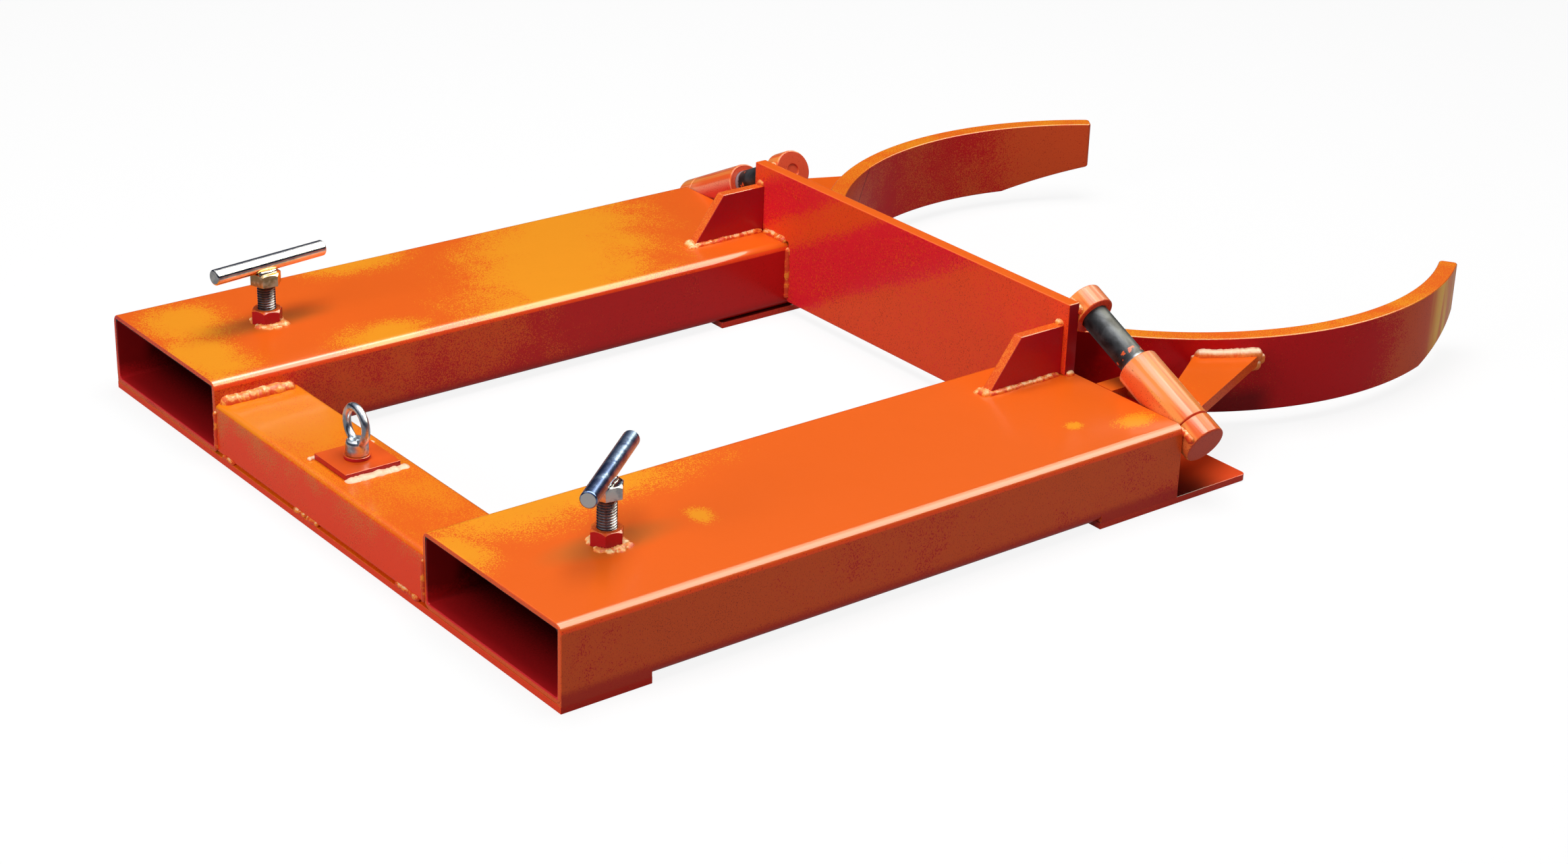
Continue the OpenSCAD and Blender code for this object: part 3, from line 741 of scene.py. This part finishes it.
# Weld beads: each is a radius in mm, the way that its crown faces and the points of its path in mm
def weld_tree():
    """Geometry Nodes for weld beads along edges, rippled like the scales of a hand-laid bead."""
    tree, size = open_group("laid_weld", {"Geometry": "Geometry", "Step": "Float", "Pitch": "Float",
                                          "Ripple": "Float", "Wander": "Float", "Material": "Material"})

    def stored(name, kind="FLOAT"):
        """What a point holds under a name."""
        return tree.node("GeometryNodeInputNamedAttribute", {"data_type": kind}, {"Name": name})

    def store(shape, name, value, kind="FLOAT"):
        """The shape, whose points hold a value under a name."""
        return tree.node("GeometryNodeStoreNamedAttribute", {"data_type": kind, "domain": "POINT"},
                         {"Geometry": shape, "Name": name, "Value": value})

    here, radius = tree.node("GeometryNodeInputPosition"), stored("bead")
    path = tree.node("GeometryNodeMeshToCurve", None, {"Mesh": size["Geometry"]})
    path = tree.node("GeometryNodeResampleCurve", {"mode": "LENGTH"}, {"Curve": path, "Length": size["Step"]})
    drift = tree.node("ShaderNodeTexNoise", None, {"Vector": here, "Scale": 90.0, "Detail": 1.0}, "Color")
    drift = tree.scaled(tree.vector("SUBTRACT", drift, (0.5, 0.5, 0.5)), size["Wander"])
    path = tree.node("GeometryNodeSetPosition", None, {"Geometry": path, "Offset": drift})
    path = store(path, "core", here, "FLOAT_VECTOR")
    along = tree.node("GeometryNodeSplineParameter", None, None, "Length")
    whole = tree.node("GeometryNodeSplineLength", None, None, "Length")
    path = store(path, "along", along)
    to_an_end = (along.least(whole - along) / (radius * 1.1)).least(1.0)
    rounded = (1.0 - (1.0 - to_an_end) ** 2.0).most(0.02) ** 0.5
    swell = tree.node("ShaderNodeTexNoise", None, {"Vector": here, "Scale": 150.0, "Detail": 1.0})
    path = store(path, "thick", radius * rounded * (0.75 + swell * 0.5))
    ring = tree.node("GeometryNodeCurvePrimitiveCircle", None, {"Resolution": 12, "Radius": 1.0})
    bead = tree.node("GeometryNodeCurveToMesh", None, {"Curve": path, "Profile Curve": ring,
                                                       "Scale": stored("thick"), "Fill Caps": True})
    out = tree.vector("NORMALIZE", tree.vector("SUBTRACT", here, stored("core", "FLOAT_VECTOR")))
    height = tree.vector("DOT_PRODUCT", out, stored("crown", "FLOAT_VECTOR"), output="Value")
    phase = stored("along") / size["Pitch"] + (1.0 - height) * 0.45
    push = (phase.maths("FRACT") ** 0.6 - 0.6) * size["Ripple"] * stored("thick")
    bead = tree.node("GeometryNodeSetPosition", None, {"Geometry": bead, "Offset": tree.scaled(out, push)})
    return close_group(tree, bead, size["Material"])


laid_weld = weld_tree()
BEAD_STEP, IN_THE_WALL = 0.8, 4.5


def keep_out_of_the_pockets(mesh):
    """Moves what a bead would push through a pocket's wall back into it, so that the fork's way stays clean."""
    low, high = (POCKET_LOW + IN_THE_WALL) * MM, (POCKET_TOP - IN_THE_WALL) * MM
    inner, outer = (POCKET_IN + IN_THE_WALL) * MM, (POCKET_OUT - IN_THE_WALL) * MM
    for vertex in mesh.vertices:
        x, y, z = vertex.co
        if low < z < high and inner < abs(y) < outer and x < POCKET_END * MM:
            walls = {high - z: (y, high), z - low: (y, low), abs(y) - inner: (math.copysign(inner, y), z),
                     outer - abs(y): (math.copysign(outer, y), z)}
            vertex.co.y, vertex.co.z = walls[min(walls)]


def lay_beads(name, body, slot, beads, finish, pitch=2.6, ripple=0.16, wander=1.8):
    """One piece with all the beads of a list; pitch and wander are in mm."""
    mesh = bpy.data.meshes.new(name)
    points, edges, radii, crowns = [], [], [], []
    for radius, crown, path in beads:
        first = len(points)
        points += [Vector(point) * MM for point in path]
        edges += [(first + i, first + i + 1) for i in range(len(path) - 1)]
        radii += [radius * MM] * len(path)
        crowns += list(Vector(crown).normalized()) * len(path)
    mesh.from_pydata(points, edges, [])
    mesh.attributes.new("bead", "FLOAT", "POINT").data.foreach_set("value", radii)
    mesh.attributes.new("crown", "FLOAT_VECTOR", "POINT").data.foreach_set("vector", crowns)
    piece = new_piece(name, mesh, slot)
    run_tree(piece, laid_weld, {"Step": BEAD_STEP * MM, "Pitch": pitch * MM, "Ripple": ripple,
                                "Wander": wander * MM, "Material": FINISHES[finish]})
    if body == "frame":
        keep_out_of_the_pockets(piece.data)
    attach(piece, body)


def hinge_point(distance, round_angle, radius, sign):
    """A point beside the hinge line: so far up it from its lower end, and turned about it from the rear."""
    low, high = Vector((0, *HINGE_LOW)), Vector((0, *HINGE_HIGH))
    way = (high - low).normalized()
    rear = Vector((-1, 0, 0))
    upward = way.cross(rear) if way.cross(rear).z > 0 else rear.cross(way)
    offset = (rear * math.cos(round_angle) + upward * math.sin(round_angle)) * radius
    point = Vector((HINGE_X, 0, 0)) + low + way * distance + offset
    return Vector((point.x, sign * point.y, point.z))


def frame_beads():
    """Beads that join the pockets to beam, plate, gussets, collars and skids, and the beam to its skid."""
    beads = []
    for sign in SIDES.values():
        wall, top = sign * POCKET_IN, POCKET_TOP
        # Heel beam against the pocket, in front and behind
        for x, ahead, radius in ((HEEL_X, 1, 3.0), (-HEEL_X, -1, 2.2)):
            beads.append((radius, (ahead, -sign, 0), [(x, wall, 46), (x, wall, 10)]))
        # Back plate against the pocket's inner wall, on its top and at the plate's own end
        beads.append((3.2, (-1, -sign, 0), [(PLATE_X, wall, 14), (PLATE_X, wall, 66)]))
        beads.append((4.2, (-1, 0, 1), [(PLATE_X, sign * 168, top), (PLATE_X, sign * 202, top)]))
        beads.append((3.6, (0, sign, 1), [(x, sign * PLATE_HALF, top) for x in (PLATE_X + 1, PLATE_FRONT - 1)]))
        # Both sides of the gusset on the pocket
        for y, out in ((GUSSET_IN, -sign), (GUSSET_OUT, sign)):
            beads.append((3.3, (0, out, 1), [(x, sign * y, top) for x in (GUSSET_FOOT - 1, PLATE_X - 2)]))
        # Collars in the notch against the plate and against the pocket's end
        for ends, radius, turns in (((1, 19.5), 3.0, (0.42,)), ((156.5, 175), 3.6, (-0.42, 0.42))):
            for turn in turns:
                beads.append((radius, (-0.3, 0, math.copysign(1, turn)),
                              [hinge_point(end, turn, COLLAR_R + 0.4, sign) for end in ends]))
        # Front skid against the pocket's end
        beads.append((3.2, (1, 0, 1), [(POCKET_END, sign * y, POCKET_LOW) for y in (172, 262)]))
    # Stitches along the seam of beam and heel skid, behind and in front
    for middle in (-148, -132, 6, 26, 146):
        for ahead in (-1, 1):
            x = ahead * (HEEL_X - 1.2)
            beads.append((2.6, (ahead, 0, 0.6), [(x, y, BEAM_LOW + 2) for y in (middle - 9, middle + 9)]))
    return beads


def pad_beads():
    """A broad flat bead on each long side of the pad, past its corner, and a tack at the other corner."""
    beads = [(2.4, (-1, 0, 1), [(-30, PAD_HALF - 2, BEAM_TOP), (-27, PAD_HALF + 4, BEAM_TOP)])]
    for way, radius, sunk in ((-1, 7.0, 4.6), (1, 3.4, 2.0)):
        y, z = way * (PAD_HALF + 2.2), BEAM_TOP - sunk
        beads.append((radius, (0, way, 2), [(-PAD_HALF - 3, y, z), (PAD_HALF, y, z), (PAD_HALF + 8, y + way, z)]))
    return beads


def spatter_beads():
    """Blobs where a bead was started, pale on top with painted highlight: at each gusset's foot and top, and at the
    plate on each pocket.
    """
    blobs, sunk = [], POCKET_TOP - 1
    for sign in SIDES.values():
        for radius, ends in ((5.6, ((GUSSET_FOOT - 1, 202, sunk), (GUSSET_FOOT, 216, sunk))),
                             (3.4, ((GUSSET_FOOT - 7, 205, sunk), (GUSSET_FOOT + 4, 201, sunk))),
                             (4.2, ((PLATE_X, 204, GUSSET_TOP), (PLATE_X, 214, GUSSET_TOP))),
                             (3.6, ((PLATE_X - 1, 168, POCKET_TOP), (PLATE_X - 1, 176, POCKET_TOP)))):
            blobs.append((radius, (-1, 0, 1), [(x, sign * y, z) for x, y, z in ends]))
    return blobs


def beam_beads():
    """The long-rippled beads over the heel beam's top where it meets each pocket."""
    return [(6.2, (0, -sign, 1), [(x, sign * (POCKET_IN - 3), BEAM_TOP) for x in (34, -36)])
            for sign in SIDES.values()]


# The ring and the lumps round a weld nut: middle and reach in degrees, distance from the screw, radius in mm
NUT_LUMPS = ((0, 174, 13, 2.8), (268, 74, 13.6, 4.4), (214, 18, 15.5, 3.6), (246, 14, 16.5, 3.8),
             (272, 16, 17.0, 3.4), (306, 18, 17.0, 4.6), (20, 20, 14, 3.0), (120, 22, 14, 3.0))


def nut_beads(sign):
    """Weld metal round a weld nut's foot: a low ring with lumps that run together at the front."""
    beads = []
    for middle, reach, out, radius in NUT_LUMPS:
        turns = [math.radians(middle + reach * t / 8) for t in range(-8, 9)]
        beads.append((radius, (math.cos(math.radians(middle)), math.sin(math.radians(middle)), 1.6),
                      [(SCREW_X + out * math.cos(t), sign * SCREW_Y + out * math.sin(t), POCKET_TOP - radius * 0.45)
                       for t in turns]))
    return beads


def on_arm(angle, radius, sign, z):
    """A point of the arms' arc: the angle grows from the back plate to the tip."""
    turn = math.radians(angle)
    return (ARM_X - radius * math.cos(turn), sign * radius * math.sin(turn), z)


def evenly(first, last, count):
    """Numbers from the first to the last in equal steps."""
    return [first + (last - first) * i / (count - 1) for i in range(count)]


def arm_beads(sign):
    """Beads round an arm bracket's foot on the arm, and along its upper and lower face on the sleeve."""
    outer, middle = ARM_R + ARM_T, math.radians((BRACKET_FROM + BRACKET_TO) / 2)
    outward = (-math.cos(middle), sign * math.sin(middle))
    beads = [(6.0, (*outward, crown), [on_arm(a, outer + 1, sign, z) for a in evenly(BRACKET_FROM, BRACKET_TO, 14)])
             for z, crown in ((BRACKET_TOP, 1), (BRACKET_LOW, -1))]
    for angle, way in ((BRACKET_FROM, -1), (BRACKET_TO, 1)):
        beads.append((3.2, (way, 0, 0), [on_arm(angle, outer, sign, z) for z in (BRACKET_TOP, BRACKET_LOW)]))
    (low_y, low_z), (high_y, high_z) = HINGE_LOW, HINGE_HIGH
    long = math.hypot(high_y - low_y, high_z - low_z)
    for z, crown, first, last in ((BRACKET_TOP, 1, 331, 289), (BRACKET_LOW, -1, 345, 292)):
        path = []
        for y in evenly(first, last, 12):
            off = ((y - low_y) * (high_z - low_z) - (z - low_z) * (high_y - low_y)) / long
            path.append((HINGE_X + math.sqrt(max(COLLAR_R ** 2 - off ** 2, 0)), sign * y, z))
        beads.append((3.4, (1, 0, crown), path))
    return beads


def tee_beads(side, sign):
    """The two fillets between a tee bar and the head below it."""
    turn = math.radians(TEE_TURN[side])
    ahead, aside = Vector((math.cos(turn), math.sin(turn), 0)), Vector((-math.sin(turn), math.cos(turn), 0))
    middle = Vector((SCREW_X, sign * SCREW_Y, HEAD_LOW[side] + HEAD_H))
    return [(2.6, aside * way + Vector((0, 0, 1)), [middle + ahead * t + aside * way * 3.6 for t in (-10, 10)])
            for way in (-1, 1)]


lay_beads("frame_welds", "frame", "orange_paint", frame_beads(), "welds")
lay_beads("nut_welds", "frame", "orange_paint", nut_beads(-1) + nut_beads(1) + spatter_beads(), "nut_welds",
          ripple=0.22)
lay_beads("beam_welds", "frame", "orange_paint", beam_beads(), "nut_welds", pitch=6.5, ripple=0.13)
lay_beads("pad_welds", "frame", "orange_paint", pad_beads(), "flat_welds", pitch=5.0, ripple=0.05)
for side, sign in SIDES.items():
    lay_beads(f"arm_{side}_welds", f"arm_{side}", "orange_paint", arm_beads(sign), "flat_welds", pitch=5.0,
              ripple=0.08)
    lay_beads(f"screw_{side}_welds", f"screw_{side}", "zinc_plate", tee_beads(side, sign), "zinc_plate")


def fill_the_skid_seams():
    """Filler under the pockets' rounded corners, dressed flush with their walls and with the skids."""
    corner = ((POCKET_OUT + 0.02, POCKET_LOW - 0.5), (POCKET_OUT + 0.02, POCKET_LOW + 8),
              (POCKET_OUT - 2.4, POCKET_LOW + 2.3), (POCKET_OUT - 8, POCKET_LOW - 0.5))
    shape = bmesh.new()
    for sign in SIDES.values():
        for ends in ((-HEEL_X + 0.4, HEEL_X - 0.4), (FRONT_SKID_X + 0.6, POCKET_END - 0.6)):
            rear, front = ([shape.verts.new((x * MM, sign * y * MM, z * MM)) for y, z in corner] for x in ends)
            for face in (rear, front, *((rear[i - 1], rear[i], front[i], front[i - 1]) for i in range(4))):
                shape.faces.new(face)
    bmesh.ops.recalc_face_normals(shape, faces=shape.faces)
    filler = new_piece("fork_pocket_seam_filler", as_mesh(shape, "skid_seam_filler"), "orange_paint")
    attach(filler, "frame")


fill_the_skid_seams()

# The camera that fits the photograph: its place in mm, its angles in degrees, its lens in the photo's pixels
CAMERA_AT, CAMERA_SWING, CAMERA_DIP, CAMERA_ROLL = (-1037.67, -1842.19, 1036.02), 38.64, 24.35, 1.97
FOCAL_PIXELS, PHOTO_WIDTH, SENSOR_MM = 4278.44, 2324, 36


def place_camera():
    """Puts the camera where the photograph was taken from."""
    lens = bpy.data.cameras.new("camera")
    camera = new_object("camera", lens)
    swing, dip, roll_shading = (math.radians(angle) for angle in (CAMERA_SWING, CAMERA_DIP, CAMERA_ROLL))
    ahead = Vector((math.sin(swing) * math.cos(dip), math.cos(swing) * math.cos(dip), -math.sin(dip)))
    right = Vector((math.cos(swing), -math.sin(swing), 0))
    up = right.cross(ahead)
    across = right * math.cos(roll_shading) + up * math.sin(roll_shading)
    above = up * math.cos(roll_shading) - right * math.sin(roll_shading)
    stand = Matrix((across, above, -ahead)).transposed().to_4x4()
    stand.translation = Vector(CAMERA_AT) * MM
    camera.matrix_world = stand
    lens.sensor_width, lens.lens = SENSOR_MM, FOCAL_PIXELS / PHOTO_WIDTH * SENSOR_MM
    lens.clip_end = 50
    bpy.context.scene.camera = camera


WHITE, FLOOR_GREY, SKY_BLUE = (1, 1, 1, 1), (0.30, 0.30, 0.30, 1), (0.07, 0.12, 0.32, 1)
WARM_WHITE = (1, 0.95, 0.74)


def ray_kinds(tree):
    """1 for the rays that the camera or glass sends, and 1 for those that gloss sends."""
    rays = tree.tree.nodes.new("ShaderNodeLightPath")
    camera, glass, gloss = (Value(tree, rays.outputs["Is " + kind + " Ray"])
                            for kind in ("Camera", "Transmission", "Glossy"))
    return camera + glass, gloss


def lamp(name, place, target, size, watts, tall=None, gloss=True, spread=True, colour=(1, 1, 1)):
    """An area light; gloss and spread say whether mirrored and scattered rays meet it."""
    light = bpy.data.lights.new(name, "AREA")
    light.color = colour
    light.shape, light.size, light.size_y, light.energy = "RECTANGLE", size, tall or size, watts
    holder = new_object(name, light)
    turned = (Vector(target) - Vector(place)).to_track_quat("-Z", "Y").to_matrix().to_4x4()
    turned.translation = Vector(place)
    holder.matrix_world = turned
    holder.visible_glossy, holder.visible_diffuse = gloss, spread


def paint_the_sky():
    """A world that is white to the camera, dim as light, and in mirrors pale above and blue near the floor."""
    world = bpy.data.worlds.new("studio")
    bpy.context.scene.world = world
    world.use_nodes = True
    air = Tree(world.node_tree)
    world.node_tree.nodes.clear()
    seen, shine = ray_kinds(air)
    steep = air.parts(air.node("ShaderNodeTexCoord", None, None, "Generated"))[2].ramp(0.32, 0.78)
    colour = air.mix(shine * (1 - steep), WHITE, SKY_BLUE)
    strength = 0.05 + seen.least(1.0) * 0.95 + shine * (0.05 + steep * 0.65)
    sky = air.node("ShaderNodeBackground", None, {"Color": colour, "Strength": strength})
    end = world.node_tree.nodes.new("ShaderNodeOutputWorld")
    world.node_tree.links.new(sky.socket, end.inputs["Surface"])


def lay_the_floor():
    """A grey floor that keeps the shadow and is whitened for the camera and for what gloss and glass show."""
    ground = bpy.data.meshes.new("ground")
    ground.from_pydata([(-30, -30, 0), (30, -30, 0), (30, 30, 0), (-30, 30, 0)], [], [(0, 1, 2, 3)])
    floor = new_object("ground", ground)
    plain = Finish("ground_finish")
    lit = plain.node("ShaderNodeBsdfDiffuse", None, {"Color": FLOOR_GREY})
    seen, gloss = ray_kinds(plain)
    bright = plain.node("ShaderNodeEmission", None, {"Color": WHITE, "Strength": 1.47 - gloss * 1.15})
    plain.close(plain.node("ShaderNodeMixShader", None, {0: (seen + gloss).least(1.0) * 0.60, 1: lit, 2: bright}))
    ground.materials.append(plain.material)


place_camera()
paint_the_sky()
lamp("overhead", (0.45, 0.10, 2.4), (0.40, 0, 0), 1.6, 57)
lamp("heel_fill", (-2.7, -0.3, 0.9), (0.20, 0, 0.05), 1.4, 50, gloss=False)
lamp("side_fill", (0.30, -2.6, 0.9), (0.35, -0.2, 0.05), 1.2, 10, gloss=False)
lamp("tip_fill", (2.9, -1.5, 0.8), (1.0, -0.25, 0.05), 1.2, 11, gloss=False)
lamp("edge_gloss", (1.9, -0.55, 2.45), (0.30, -0.20, 0.07), 3.9, 210, tall=2.6, spread=False, colour=WARM_WHITE)
lay_the_floor()
bpy.context.scene.view_settings.view_transform = "Standard"
